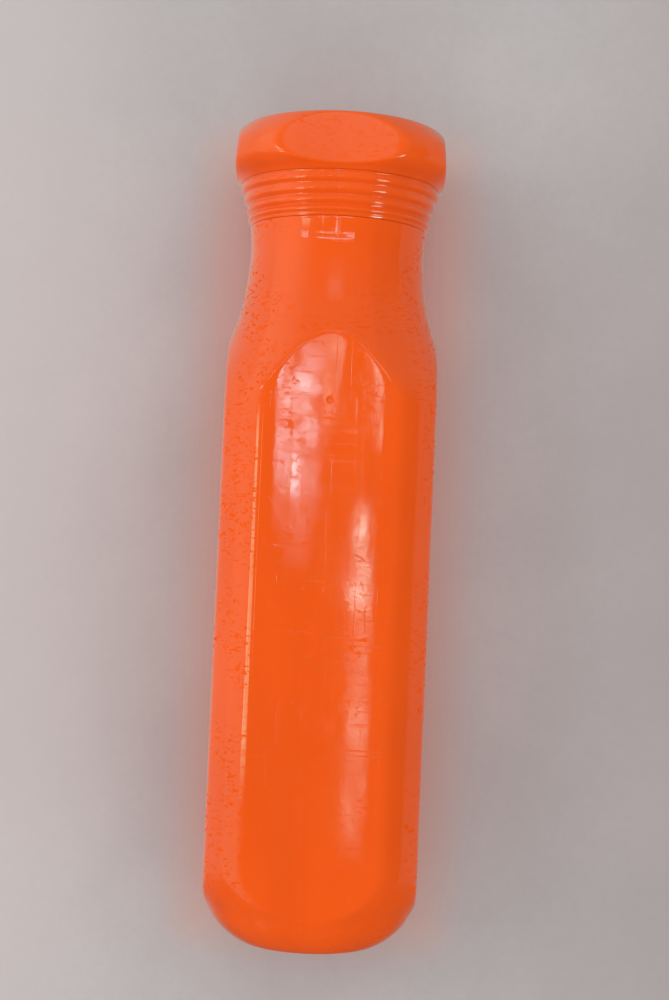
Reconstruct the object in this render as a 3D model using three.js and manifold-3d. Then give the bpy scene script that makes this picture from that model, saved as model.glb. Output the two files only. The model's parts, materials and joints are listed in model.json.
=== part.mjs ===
// Rigid travel water bottle with flattened sides, a ringed pull-off cover and a
// fold-down drinking spout on a screw-on lid.
// Millimetres, +Z up, origin at the centre of the standing face.
// +X is the way the folded spout points, -Y is the front flat.
import * as THREE from "three";
import { mergeVertices } from "three/addons/utils/BufferGeometryUtils.js";
import Module from "manifold-3d";

const wasm = await Module();
wasm.setup();

// ---------------------------------------------------------- shared dimensions
// _R is a radius, _X, _Y and _Z are places on an axis.
const HEIGHT = 251.0; // standing face to the top of the cover
const WALL = 2.2; // moulded wall
const TURNED_FACETS = 48; // facets round the large turned shapes

const PARTING_Z = 219.35; // top face of the bottle's shoulder, under the cover
const RIM_Z = 231.0; // drinking rim of the neck
const DECK_LOW_Z = 232.3; // flat top of the lid
const DECK_TOP_Z = 234.9;

// Groove round the lid for the cover's O-ring
const GROOVE_LOW_Z = 232.6;
const GROOVE_TOP_Z = 234.0;

const HINGE_X = -12.0; // spout hinge axis, parallel to Y
const HINGE_Z = 241.3;
const FLOW_R = 2.2; // drinking passage through lid, seat and spout
const PIN_HOLE_R = 1.32;

const VENT_X = 8;
const VENT_Y = 11;

// ------------------------------------------------------------- solids, meshes
const solidFromTriangles = (positions, triangles) =>
  new wasm.Manifold(
    new wasm.Mesh({
      numProp: 3,
      vertProperties: new Float32Array(positions),
      triVerts: new Uint32Array(triangles),
    }),
  );

// Welds a geometry, drops its collapsed triangles and turns it right side out.
const solidFrom = (geometry) => {
  const loose = geometry.index ? geometry.toNonIndexed() : geometry.clone();
  loose.deleteAttribute("normal");
  loose.deleteAttribute("uv");
  const welded = mergeVertices(loose, 1e-4);
  const positions = welded.attributes.position.array;
  const index = welded.index.array;
  const triangles = [];
  const reversed = [];
  for (let i = 0; i < index.length; i += 3) {
    const [a, b, c] = index.slice(i, i + 3);
    if (a !== b && b !== c && a !== c) {
      triangles.push(a, b, c);
      reversed.push(a, c, b);
    }
  }
  const solid = solidFromTriangles(positions, triangles);
  return solid.volume() < 0 ? solidFromTriangles(positions, reversed) : solid;
};

const geometryOf = (solid) => {
  const mesh = solid.getMesh();
  const stride = mesh.numProp;
  const positions = new Float32Array(mesh.numVert * 3);
  for (let i = 0; i < mesh.numVert; i++)
    positions.set(mesh.vertProperties.subarray(i * stride, i * stride + 3), i * 3);
  const indexed = new THREE.BufferGeometry();
  indexed.setAttribute("position", new THREE.BufferAttribute(positions, 3));
  indexed.setIndex(new THREE.BufferAttribute(new Uint32Array(mesh.triVerts), 1));
  const faceted = indexed.toNonIndexed();
  faceted.computeVertexNormals();
  return faceted;
};

const cutBy = (solid, ...tools) => tools.reduce((rest, tool) => rest.subtract(tool), solid);
const joined = (solid, ...more) => more.reduce((sum, next) => sum.add(next), solid);

// --------------------------------------------------------------- basic shapes
// A turned solid about +Z from a profile of [radius, z] that starts and ends on
// the axis, or closes on itself when closed is true.
// place, if given, moves the turned geometry from the Z axis to where it belongs.
const turned = (profile, { facets = TURNED_FACETS, closed = false, place = null } = {}) => {
  const points = profile.map(([radius, z]) => new THREE.Vector2(radius, z));
  if (closed) points.push(points[0].clone());
  const geometry = new THREE.LatheGeometry(points, facets).rotateX(Math.PI / 2);
  if (place) geometry.applyMatrix4(place);
  return solidFrom(geometry);
};

const box = (x0, x1, y0, y1, z0, z1) =>
  solidFrom(
    new THREE.BoxGeometry(x1 - x0, y1 - y0, z1 - z0).translate(
      (x0 + x1) / 2,
      (y0 + y1) / 2,
      (z0 + z1) / 2,
    ),
  );

// The square prism that flattens a turned shape on four sides.
const flats = (half, z0, z1) => box(-half, half, -half, half, z0, z1);

// Upright rod, below the spout hinge unless placed elsewhere.
const uprightRod = (radius, z0, z1, facets, x = HINGE_X, y = 0) =>
  solidFrom(
    new THREE.CylinderGeometry(radius, radius, z1 - z0, facets)
      .rotateX(Math.PI / 2)
      .translate(x, y, (z0 + z1) / 2),
  );

// Rod on the hinge axis, along Y.
const hingeRod = (radius, y0, y1, facets) =>
  solidFrom(
    new THREE.CylinderGeometry(radius, radius, y1 - y0, facets).translate(
      HINGE_X,
      (y0 + y1) / 2,
      HINGE_Z,
    ),
  );

// Rod on the axis of the folded spout, along X.
const spoutRod = (radius, x0, x1, facets) =>
  solidFrom(
    new THREE.CylinderGeometry(radius, radius, x1 - x0, facets)
      .rotateZ(Math.PI / 2)
      .translate((x0 + x1) / 2, 0, HINGE_Z),
  );

const circlePoints = (radius, count, centreX = 0, centreY = 0) =>
  Array.from({ length: count }, (_, i) => {
    const angle = (i / count) * 2 * Math.PI;
    return [centreX + radius * Math.cos(angle), centreY + radius * Math.sin(angle)];
  });

// The [low, high] y of a feature on one side: 1 is +Y (right), -1 is -Y (left).
const sideSpan = (side, innerY, outerY) => (side > 0 ? [innerY, outerY] : [-outerY, -innerY]);

// --------------------------------------------------------------- screw thread
const NECK_ROOT_R = 20.8;
const NECK_CREST_R = 21.9;
const LID_ROOT_R = 22.3;
const LID_CREST_R = 21.2;
const THREAD_PITCH = 4.0;
const THREAD_TURNS = 1.5;
const THREAD_LOW_Z = 222.1; // where the bottle's ridge starts
const THREAD_UNDER = 1.38; // lid ridge below the bottle ridge, centre to centre
const LID_THREAD_LAG = 0.25; // turns by which the lid ridge starts later
const RIDGE_BURY = 0.4; // depth of the ridge's base inside the wall
const RIDGE_BASE_HALF = 0.95; // half the ridge's height at its base
const RIDGE_CREST_HALF = 0.45; // and at its crest
const STEPS_PER_TURN = 24;
const RUN_OUT_STEPS = 3;

// A trapezoid ridge swept up a right-hand helix. baseR is buried in the wall,
// crestR is the free edge; both ends run out to just inside the wall.
const helixRidge = ({ baseR, crestR, wallR, startZ, phase, turns }) => {
  const steps = Math.round(turns * STEPS_PER_TURN);
  const runOutR = wallR + (baseR - wallR) * 0.3;
  const positions = [];
  for (let i = 0; i <= steps; i++) {
    const angle = phase + (i / STEPS_PER_TURN) * 2 * Math.PI;
    const centreZ = startZ + (i / STEPS_PER_TURN) * THREAD_PITCH;
    const ease = Math.min(1, i / RUN_OUT_STEPS, (steps - i) / RUN_OUT_STEPS);
    const edgeR = runOutR + (crestR - runOutR) * ease;
    const section = [
      [baseR, centreZ - RIDGE_BASE_HALF],
      [edgeR, centreZ - RIDGE_CREST_HALF],
      [edgeR, centreZ + RIDGE_CREST_HALF],
      [baseR, centreZ + RIDGE_BASE_HALF],
    ];
    for (const [radius, z] of section)
      positions.push(radius * Math.cos(angle), radius * Math.sin(angle), z);
  }
  const triangles = [];
  for (let i = 0; i < steps; i++)
    for (let k = 0; k < 4; k++) {
      const here = i * 4 + k;
      const next = i * 4 + ((k + 1) % 4);
      triangles.push(here, next, next + 4, here, next + 4, here + 4);
    }
  const last = steps * 4;
  triangles.push(0, 2, 1, 0, 3, 2);
  triangles.push(last, last + 1, last + 2, last, last + 2, last + 3);
  const geometry = new THREE.BufferGeometry();
  geometry.setAttribute(
    "position",
    new THREE.BufferAttribute(new Float32Array(positions), 3),
  );
  geometry.setIndex(triangles);
  return solidFrom(geometry);
};

const neckThread = () =>
  helixRidge({
    baseR: NECK_ROOT_R - RIDGE_BURY,
    crestR: NECK_CREST_R,
    wallR: NECK_ROOT_R,
    startZ: THREAD_LOW_Z,
    phase: 0,
    turns: THREAD_TURNS,
  });

// Runs just under the bottle's ridge, starting part of a turn later.
const lidThread = () =>
  helixRidge({
    baseR: LID_ROOT_R + RIDGE_BURY,
    crestR: LID_CREST_R,
    wallR: LID_ROOT_R,
    startZ: THREAD_LOW_Z - THREAD_UNDER + THREAD_PITCH * LID_THREAD_LAG,
    phase: LID_THREAD_LAG * 2 * Math.PI,
    turns: THREAD_TURNS - LID_THREAD_LAG,
  });

// ---------------------------------------------------------------- bottle body
const ROUND_R = 38.1; // radius of the rounded corners, between the flats
const BODY_FLAT = 32.0; // centre to each of the four flats
const NECK_BORE_R = 18.6;

// [radius, z]: pushed-up base, standing ring, rounded heel, straight body,
// shoulder running up into a waist, then the neck.
const BODY_OUTSIDE = [
  [0, 2.6], [12.8, 1.6], [14.5, 0], [19.8, 0],
  [23.0, 1.5], [25.6, 3.3], [29.9, 7.55], [31.9, 10.2],
  [34.3, 13.4], [36.4, 17.3], [37.7, 21.8],
  [ROUND_R, 26.5], [ROUND_R, 163],
  [37.9, 165.8], [37.1, 169.3], [35.55, 173.4], [33.8, 178.3],
  [31.95, 184.0], [30.15, 189.4], [28.65, 195.2], [27.3, 204.5],
  [26.8, 212.2], [27.0, 216.0], [27.2, PARTING_Z - 0.3], [26.9, PARTING_Z],
  [NECK_ROOT_R, PARTING_Z], [NECK_ROOT_R, RIM_Z - 0.6],
  [NECK_ROOT_R - 0.6, RIM_Z], [0, RIM_Z],
];
// [radius, z]: the cavity, from the floor out through the rim.
const BODY_INSIDE = [
  [0, 4.9], [13, 4.0], [20.2, 2.7], [24.4, 5.0], [28.2, 9.2], [32.4, 16.4],
  [ROUND_R - WALL, 26.5], [ROUND_R - WALL, 160.6],
  [33.9, 170.4], [29.6, 183.4], [26.3, 194.8], [24.3, 209.0], [24.0, 212.6],
  [NECK_BORE_R, 217.4], [NECK_BORE_R, RIM_Z + 2], [0, RIM_Z + 2],
];

const bottleBody = () =>
  cutBy(
    joined(turned(BODY_OUTSIDE).intersect(flats(BODY_FLAT, -1, HEIGHT)), neckThread()),
    turned(BODY_INSIDE).intersect(flats(BODY_FLAT - WALL, -1, HEIGHT)),
  );

// ----------------------------------------------------------------- lid gasket
const GASKET_IN_R = 19.2;
const GASKET_OUT_R = 20.9;
const GASKET_GAP = 0.15; // clear of the rim below and the deck above

const lidGasket = () =>
  turned(
    [
      [GASKET_IN_R, RIM_Z + GASKET_GAP],
      [GASKET_OUT_R, RIM_Z + GASKET_GAP],
      [GASKET_OUT_R, DECK_LOW_Z - GASKET_GAP],
      [GASKET_IN_R, DECK_LOW_Z - GASKET_GAP],
    ],
    { closed: true },
  );

// --------------------------------------------------------------- screw-on lid
const LID_OUT_R = 25.0;
const LID_LOW_Z = 220.15;
const LID_EDGE = 0.4; // edge bevel
const GROOVE_R = 24.1;
const DECK_OVERLAP = 0.5; // how far features sink into the deck
const NIPPLE_R = 3.1;
const NIPPLE_LOW_Z = 223.5;
const EAR_R = 3.6; // rounded top, and half the ear's width
const EAR_INNER_Y = 8.2;
const EAR_OUTER_Y = 10.4;
const RIB = { x0: 0.5, x1: 6.5, innerY: 4.7, outerY: 5.8, topZ: 240.2 };
const SEAT_POCKET_R = 3.65;
const SEAT_POCKET_Z = 234.05;
const VENT_R = 1.2;

// [radius, z]: under the deck, down the inside, up the outside past the groove.
const LID_PROFILE = [
  [0, DECK_LOW_Z],
  [LID_ROOT_R, DECK_LOW_Z],
  [LID_ROOT_R, LID_LOW_Z + 0.5],
  [LID_ROOT_R + LID_EDGE, LID_LOW_Z],
  [LID_OUT_R - LID_EDGE, LID_LOW_Z],
  [LID_OUT_R, LID_LOW_Z + LID_EDGE],
  [LID_OUT_R, GROOVE_LOW_Z],
  [GROOVE_R, GROOVE_LOW_Z],
  [GROOVE_R, GROOVE_TOP_Z],
  [LID_OUT_R, GROOVE_TOP_Z],
  [LID_OUT_R, DECK_TOP_Z - LID_EDGE],
  [LID_OUT_R - LID_EDGE, DECK_TOP_Z],
  [0, DECK_TOP_Z],
];

const hingeEar = (side) => {
  const span = sideSpan(side, EAR_INNER_Y, EAR_OUTER_Y);
  return joined(
    box(HINGE_X - EAR_R, HINGE_X + EAR_R, ...span, DECK_TOP_Z - DECK_OVERLAP, HINGE_Z),
    hingeRod(EAR_R, ...span, 24),
  );
};

// The folded spout lies between a pair of these.
const spoutRib = (side) =>
  box(
    RIB.x0,
    RIB.x1,
    ...sideSpan(side, RIB.innerY, RIB.outerY),
    DECK_TOP_Z - DECK_OVERLAP,
    RIB.topZ,
  );

const lidCollar = () =>
  cutBy(
    joined(
      turned(LID_PROFILE),
      lidThread(),
      uprightRod(NIPPLE_R, NIPPLE_LOW_Z, DECK_LOW_Z + DECK_OVERLAP, 20),
      hingeEar(1),
      hingeEar(-1),
      spoutRib(-1),
      spoutRib(1),
    ),
    uprightRod(FLOW_R, 222, DECK_TOP_Z + 1, 20),
    uprightRod(SEAT_POCKET_R, SEAT_POCKET_Z, DECK_TOP_Z + 1, 24),
    uprightRod(VENT_R, DECK_LOW_Z - 1, DECK_TOP_Z + 1, 16, VENT_X, VENT_Y),
    hingeRod(PIN_HOLE_R, -12, 12, 16),
  );

// ---------------------------------------------------------------------- straw
const STRAW_IN_R = 3.35;
const STRAW_OUT_R = 4.15;
const STRAW_LOW_Z = 9.0;
const STRAW_TOP_Z = 231.9;
const STRAW_SLANT = Math.PI / 5;

// Pushed up over the nipple; its foot is cut on the slant.
const straw = () =>
  cutBy(
    uprightRod(STRAW_OUT_R, STRAW_LOW_Z, STRAW_TOP_Z, 20),
    uprightRod(STRAW_IN_R, STRAW_LOW_Z - 1, 233, 20),
    solidFrom(
      new THREE.BoxGeometry(20, 20, 10)
        .translate(0, 0, -5)
        .rotateY(-STRAW_SLANT)
        .translate(HINGE_X - STRAW_OUT_R, 0, STRAW_LOW_Z),
    ),
  );

// ------------------------------------------------------- spout seat and valve
const HUB_R = 5.5;
const HUB_CLEARANCE = 0.2;
const SEAT_R = 3.45;
const SEAT_LOW_Z = 234.2;
const SEAT_TOP_Z = 238.0; // before the hub's hollow is cut

// Bored plug in the deck pocket, hollowed on top to follow the spout hub.
const spoutSeat = () =>
  cutBy(
    uprightRod(SEAT_R, SEAT_LOW_Z, SEAT_TOP_Z, 24),
    uprightRod(FLOW_R, 233, 240, 20),
    hingeRod(HUB_R + HUB_CLEARANCE, -9, 9, 32),
  );

// [radius, z]: disc under the deck, stem through the vent hole, small head.
const VALVE_PROFILE = [
  [0, 231.15], [3.2, 231.35], [3.4, 231.6], [1.3, 232.1],
  [1.0, 232.15], [1.0, 235.1], [1.7, 235.1], [1.2, 236.1], [0, 236.3],
];

const ventValve = () =>
  turned(VALVE_PROFILE, {
    facets: 16,
    place: new THREE.Matrix4().makeTranslation(VENT_X, VENT_Y, 0),
  });

// ---------------------------------------------------------------------- spout
const HUB_HALF = 5.5; // half the hub's length along Y
const ARM_R = 4.2;
const ARM_END_X = 9.0;
const BARB_R = 3.0;
const BARB_BEAD_R = 3.35;
const BARB_END_X = 14.0;
const PIN_SOCKET_Y = 3.1; // blind end of each pin socket in the hub

const pinSocket = (side) => hingeRod(PIN_HOLE_R, ...sideSpan(side, PIN_SOCKET_Y, 7), 16);

const spoutArm = () =>
  cutBy(
    joined(
      hingeRod(HUB_R, -HUB_HALF, HUB_HALF, 32),
      spoutRod(ARM_R, HINGE_X, ARM_END_X, 24),
      spoutRod(BARB_R, HINGE_X, BARB_END_X, 24),
      spoutRod(BARB_BEAD_R, BARB_END_X - 1.6, BARB_END_X - 0.6, 24),
    ),
    spoutRod(FLOW_R, HINGE_X - 8, BARB_END_X + 1, 20),
    pinSocket(1),
    pinSocket(-1),
  );

// [radius from the arm's axis, x]: outside to the tip, then back up the bore.
const MOUTHPIECE_PROFILE = [
  [3.55, 9.3], [4.9, 9.3], [5.4, 10.2], [5.1, 12.0], [5.2, 14.2], [5.9, 15.8],
  [5.8, 17.2], [4.9, 18.5], [3.4, 19.0], [1.9, 18.6], [1.9, 14.4], [3.55, 14.4],
];

// Soft mouthpiece over the barb.
const spoutMouthpiece = () =>
  turned(MOUTHPIECE_PROFILE, {
    facets: 24,
    closed: true,
    place: new THREE.Matrix4()
      .makeTranslation(0, 0, HINGE_Z)
      .multiply(new THREE.Matrix4().makeRotationY(Math.PI / 2)),
  });

// ----------------------------------------------------- hinge pins and springs
const PIN_R = 1.2;
const PIN_INNER_Y = 3.4;
const PIN_OUTER_Y = 10.7;
const COIL = { radius: 2.15, innerY: 6.15, pitch: 0.7, turns: 2.2 };
const WIRE_R = 0.28;

const hingePin = (side) => hingeRod(PIN_R, ...sideSpan(side, PIN_INNER_Y, PIN_OUTER_Y), 16);

// Centre line of the coil round a hinge pin, winding outwards from the hub.
class CoilCurve extends THREE.Curve {
  constructor(side) {
    super();
    this.side = side;
  }
  getPoint(t, target = new THREE.Vector3()) {
    const angle = t * COIL.turns * 2 * Math.PI;
    return target.set(
      HINGE_X + COIL.radius * Math.cos(angle),
      this.side * (COIL.innerY + t * COIL.turns * COIL.pitch),
      HINGE_Z + COIL.radius * Math.sin(angle),
    );
  }
}

const spoutSpring = (side) => {
  const corners = circlePoints(WIRE_R, 6).map(([x, y]) => new THREE.Vector2(x, y));
  const wire = new THREE.Shape(corners);
  wire.closePath();
  return solidFrom(
    new THREE.ExtrudeGeometry(wire, {
      steps: 30,
      extrudePath: new CoilCurve(side),
      bevelEnabled: false,
    }),
  );
};

// ---------------------------------------------------------------------- cover
const COVER_LOW_Z = PARTING_Z + 0.4; // parting gap above the shoulder
const COVER_BORE_R = 25.4;
const SEAM_Z = 232.55; // joint between ringed skirt and crown
const SEAM_HALF_GAP = 0.15;
const SPIGOT_R = 28.0;
const SPIGOT_TOP_Z = 235.1;
const SPIGOT_BORE_R = 28.3; // crown's recess round the spigot
const CROWN_R = 37.0; // widest radius of the crown
const CROWN_FLAT = 31.6; // centre to each of the crown's four flats
const ORING_R = 24.7;
const ORING_SECTION_R = 0.54;

const coverOring = () =>
  turned(circlePoints(ORING_SECTION_R, 6, ORING_R, (GROOVE_LOW_Z + GROOVE_TOP_Z) / 2), {
    closed: true,
  });

// [radius, z]: a flared sleeve with four raised rings and a spigot for the crown.
const SKIRT_PROFILE = [
  [COVER_BORE_R, COVER_LOW_Z], [27.15, COVER_LOW_Z],
  [27.75, 220.6], [27.8, 222.0], [27.45, 222.8],
  [28.2, 223.6], [28.45, 225.0], [28.15, 225.8],
  [29.1, 226.7], [29.45, 228.3], [29.25, 229.1],
  [30.25, 230.0], [30.7, 231.4], [30.3, SEAM_Z - SEAM_HALF_GAP],
  [SPIGOT_R, SEAM_Z - SEAM_HALF_GAP], [SPIGOT_R, SPIGOT_TOP_Z],
  [COVER_BORE_R, SPIGOT_TOP_Z],
];

const coverSkirt = () => turned(SKIRT_PROFILE, { closed: true });

// [radius, z], both from the bottom up to the axis.
const CROWN_OUTSIDE = [
  [0, SEAM_Z + SEAM_HALF_GAP], [30.8, SEAM_Z + SEAM_HALF_GAP],
  [32.0, 234.1], [34.4, 235.9], [36.1, 237.4], [CROWN_R, 239.6],
  [CROWN_R, 241.2], [36.2, 243.7], [34.8, 245.8], [33.3, 247.5],
  [32.0, 248.9], [30.4, 250.1], [28.2, 250.6], [20, 250.9], [0, HEIGHT],
];
const CROWN_INSIDE = [
  [0, 230], [SPIGOT_BORE_R, 230], [SPIGOT_BORE_R, 235.4],
  [31.0, 236.9], [33.6, 238.9], [CROWN_R - WALL, 240.4], [34.6, 241.6],
  [33.6, 244.0], [31.6, 246.2], [29.6, 248.0], [28.0, 248.4], [0, 248.7],
];

// The flared head, a domed cup whose four flats are short lens shapes.
const coverCrown = () =>
  cutBy(
    turned(CROWN_OUTSIDE).intersect(flats(CROWN_FLAT, 200, 300)),
    turned(CROWN_INSIDE).intersect(flats(CROWN_FLAT - WALL, 200, 300)),
  );

// ------------------------------------------------------------------ materials
const plastic = (color, roughness) =>
  new THREE.MeshStandardMaterial({ color, roughness, metalness: 0 });
const orangeGloss = () => plastic(0xf0571a, 0.14);
const whitePlastic = () => plastic(0xe9e6df, 0.45);
const clearPlastic = () => plastic(0xdfe6e6, 0.3);
const silicone = () => plastic(0xc9ccca, 0.6);
const steel = () =>
  new THREE.MeshStandardMaterial({ color: 0xb9bbbd, roughness: 0.3, metalness: 1 });

// ------------------------------------------------------------------- assembly
const part = new THREE.Group();
const add = (name, solid, material) => {
  const mesh = new THREE.Mesh(geometryOf(solid), material);
  mesh.name = name;
  part.add(mesh);
};

add("bottle_body", bottleBody(), orangeGloss());
add("lid_gasket", lidGasket(), silicone());
add("lid_collar", lidCollar(), whitePlastic());
add("straw", straw(), clearPlastic());
add("spout_seat", spoutSeat(), silicone());
add("vent_valve", ventValve(), silicone());
add("spout_arm", spoutArm(), whitePlastic());
add("spout_mouthpiece", spoutMouthpiece(), silicone());
add("hinge_pin_left", hingePin(-1), steel());
add("hinge_pin_right", hingePin(1), steel());
add("spout_spring_left", spoutSpring(-1), steel());
add("spout_spring_right", spoutSpring(1), steel());
add("cover_oring", coverOring(), silicone());
add("cover_skirt", coverSkirt(), orangeGloss());
add("cover_crown", coverCrown(), orangeGloss());

export default part;
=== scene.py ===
"""A gloss orange drinking bottle with four broad flats, a screw lid and a folding spout.

The bottle stands on z = 0 with its axis on Z. The camera looks along +Y at the flat facing -Y,
so left is -X. The spout hinge runs along Y, left of the axis, and the folded spout points to +X.
Shapes are worked out in millimetres and turned into metres as meshes are made. The stage,
camera and lights are in metres.
"""
import json
import math

import bmesh
import bpy
import numpy as np
from mathutils import Matrix, Vector

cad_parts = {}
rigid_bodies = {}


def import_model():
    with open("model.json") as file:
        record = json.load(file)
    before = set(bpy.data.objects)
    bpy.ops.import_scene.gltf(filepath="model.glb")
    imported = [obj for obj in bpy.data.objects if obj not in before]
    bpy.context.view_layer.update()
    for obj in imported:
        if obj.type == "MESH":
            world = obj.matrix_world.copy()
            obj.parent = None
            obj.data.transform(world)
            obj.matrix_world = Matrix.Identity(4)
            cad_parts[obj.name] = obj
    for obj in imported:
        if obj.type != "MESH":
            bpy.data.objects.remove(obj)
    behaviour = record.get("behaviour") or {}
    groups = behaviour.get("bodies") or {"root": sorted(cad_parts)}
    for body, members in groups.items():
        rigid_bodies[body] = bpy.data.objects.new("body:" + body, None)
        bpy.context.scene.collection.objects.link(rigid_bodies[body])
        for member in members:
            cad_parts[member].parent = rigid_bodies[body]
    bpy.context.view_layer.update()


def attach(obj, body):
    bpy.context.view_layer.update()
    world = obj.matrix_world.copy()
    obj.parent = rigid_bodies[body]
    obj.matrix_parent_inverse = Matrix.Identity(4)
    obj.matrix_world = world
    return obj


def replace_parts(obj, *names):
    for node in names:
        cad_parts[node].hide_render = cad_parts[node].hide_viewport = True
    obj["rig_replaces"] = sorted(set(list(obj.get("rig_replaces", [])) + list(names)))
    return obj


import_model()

MM = 0.001

# ------------------------------------------------------------------ dimensions, mm
FLAT = 32.0  # axis to the face of a flat
CROWN_FLAT = 31.6
WALL = 2.2
BODY_RADIUS = 38.1
BODY_BORE = BODY_RADIUS - WALL
NECK_RADIUS = 20.8
NECK_BORE = NECK_RADIUS - WALL
PARTING_Z = 219.35  # where the cover meets the body
RIM_Z = 231.0
TOP_Z = 251.0

THREAD_Z = 222.1  # ridge centre at the start of the neck thread
THREAD_PITCH = 4.0
THREAD_HEIGHT = 1.1
THREAD_HALF_WIDTH = 0.98
THREAD_FLANK = 0.55
THREAD_FADE = 0.09  # turns over which each end of the ridge fades out
COLLAR_THREAD_DROP = 1.38  # lid ridge below the neck ridge

COLLAR_BORE = 22.3
COLLAR_RADIUS = 25.0
COLLAR_TOP_Z = 234.9
LID_TOP_CUT_Z = 236  # holes through the lid's top plate end here
VENT_AT = (8, 11, 0)

HINGE_X, HINGE_Z = -12.0, 241.3
HINGE_AT = (HINGE_X, 0, HINGE_Z)
STRAW_AT = (HINGE_X, 0, 0)
SPOUT_AT = (0, 0, HINGE_Z)
EAR_RADIUS = 3.6
PIN_RADIUS, PIN_HOLE = 1.2, 1.32
DRINK_BORE = 2.2  # radius of the way through lid and spout
STRAW_BORE, STRAW_RADIUS, STRAW_FOOT_Z = 3.35, 4.15, 9.0
AXIS_GAP = 0.02  # radius of the first ring of a solid turned piece
SPRING_TURNS, SPRING_PITCH, SPRING_RADIUS, SPRING_WIRE = 2.2, 0.7, 2.15, 0.28


# ------------------------------------------------------------------ outlines
def smoothstep(u):
    return u * u * (3 - 2 * u)


def smooth_min(a, b, blend):
    h = np.clip(blend - np.abs(a - b), 0, None) / blend
    return np.minimum(a, b) - h * h * blend * 0.25


def spline(points, step):
    """A natural cubic through [r, z] points, sampled about every step mm."""
    p = np.array(points, float)
    knots = np.concatenate([[0], np.cumsum(np.hypot(*np.diff(p, axis=0).T) ** 0.75)])
    count = len(p)
    system = np.zeros((count, count))
    rhs = np.zeros((count, 2))
    h = np.diff(knots)
    system[0, 0] = system[-1, -1] = 1
    for i in range(1, count - 1):
        system[i, i - 1 : i + 2] = h[i - 1], 2 * (h[i - 1] + h[i]), h[i]
        rhs[i] = 6 * ((p[i + 1] - p[i]) / h[i] - (p[i] - p[i - 1]) / h[i - 1])
    bend = np.linalg.solve(system, rhs)
    out = []
    for i in range(count - 1):
        steps = max(1, int(round(np.hypot(*(p[i + 1] - p[i])) / step)))
        for j in range(steps):
            u = j / steps * h[i]
            v = h[i] - u
            out.append(
                (bend[i] * v**3 + bend[i + 1] * u**3) / (6 * h[i])
                + (p[i] / h[i] - bend[i] * h[i] / 6) * v
                + (p[i + 1] / h[i] - bend[i + 1] * h[i] / 6) * u
            )
    out.append(p[-1])
    return np.array(out)


def line(start, end, step):
    steps = max(1, int(round(math.dist(start, end) / step)))
    start, end = np.array(start, float), np.array(end, float)
    return start + (end - start) * np.arange(steps + 1)[:, None] / steps


def chain(*runs):
    """Runs of points end to end, without the points they share."""
    out = [runs[0]]
    for run in runs[1:]:
        shared = np.hypot(*(run[0] - out[-1][-1])) < 1e-6
        out.append(run[1:] if shared else run)
    return np.concatenate(out)


def filleted(points, radius, steps=4, closed=False):
    """The polyline with its corners rounded; radius is one number or one per point."""
    p = [np.array(q, float) for q in points]
    radii = radius if isinstance(radius, (list, tuple)) else [radius] * len(p)
    out = []
    for i, corner in enumerate(p):
        if not closed and i in (0, len(p) - 1):
            out.append(corner)
            continue
        to_last, to_next = p[i - 1] - corner, p[(i + 1) % len(p)] - corner
        len_last, len_next = np.hypot(*to_last), np.hypot(*to_next)
        to_last, to_next = to_last / len_last, to_next / len_next
        angle = math.acos(float(np.clip(to_last @ to_next, -1, 1)))
        if radii[i] <= 0 or angle > math.pi - 0.05:
            out.append(corner)
            continue
        reach = min(radii[i] / math.tan(angle / 2), 0.45 * len_last, 0.45 * len_next)
        start, end = corner + to_last * reach, corner + to_next * reach
        for j in range(steps + 1):
            w = j / steps
            out.append((1 - w) ** 2 * start + 2 * w * (1 - w) * corner + w * w * end)
    return np.array(out)


# ------------------------------------------------------------------ meshes
def link(name, data):
    obj = bpy.data.objects.new(name, data)
    bpy.context.scene.collection.objects.link(obj)
    return obj


def solid(obj):
    """Merges doubled points and turns the faces outward."""
    bm = bmesh.new()
    bm.from_mesh(obj.data)
    bmesh.ops.remove_doubles(bm, verts=bm.verts, dist=2e-6)
    bmesh.ops.dissolve_degenerate(bm, edges=bm.edges, dist=1e-7)
    bmesh.ops.recalc_face_normals(bm, faces=bm.faces)
    if bm.calc_volume(signed=True) < 0:
        bmesh.ops.reverse_faces(bm, faces=bm.faces)
    for f in bm.faces:
        f.smooth = True
    bm.to_mesh(obj.data)
    bm.free()
    return obj


def grid_solid(name, pos, ring=False):
    """A solid from rows x columns of points in mm, the columns closing on themselves.

    With ring the rows close too, otherwise both ends are capped.
    """
    rows, cols = pos.shape[:2]
    verts = [tuple(v) for v in (pos.reshape(-1, 3) * MM)]
    faces = []
    for i in range(rows if ring else rows - 1):
        a, b = i * cols, (i + 1) % rows * cols
        for j in range(cols):
            k = (j + 1) % cols
            faces.append((a + j, a + k, b + k, b + j))
    if not ring:
        first, last = len(verts), len(verts) + 1
        verts += [tuple(pos[0].mean(0) * MM), tuple(pos[-1].mean(0) * MM)]
        faces += [(first, (j + 1) % cols, j) for j in range(cols)]
        b = (rows - 1) * cols
        faces += [(last, b + j, b + (j + 1) % cols) for j in range(cols)]
    mesh = bpy.data.meshes.new(name)
    mesh.from_pydata(verts, [], faces)
    mesh.validate(clean_customdata=False)
    mesh.polygons.foreach_set("use_smooth", [True] * len(mesh.polygons))
    mesh.update()
    return solid(link(name, mesh))


def circle(seg):
    return np.arange(seg) / seg * 2 * math.pi


def around(radius, z, angles):
    """Points from rows x columns of radius and height about Z."""
    return np.stack([radius * np.cos(angles), radius * np.sin(angles), z], -1)


def turned(name, profile, seg, axis="Z", at=(0, 0, 0), ring=False):
    """A lathe of an [r, along] profile; ring closes the profile on itself."""
    angles = circle(seg)
    p = np.array(profile, float)
    r, h = p[:, 0][:, None], p[:, 1][:, None]
    c, s = r * np.cos(angles), r * np.sin(angles)
    h = np.broadcast_to(h, c.shape)
    order = {"Z": (c, s, h), "X": (h, c, s), "Y": (s, h, c)}[axis]
    return grid_solid(name, np.stack(order, -1) + np.array(at, float), ring)


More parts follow.
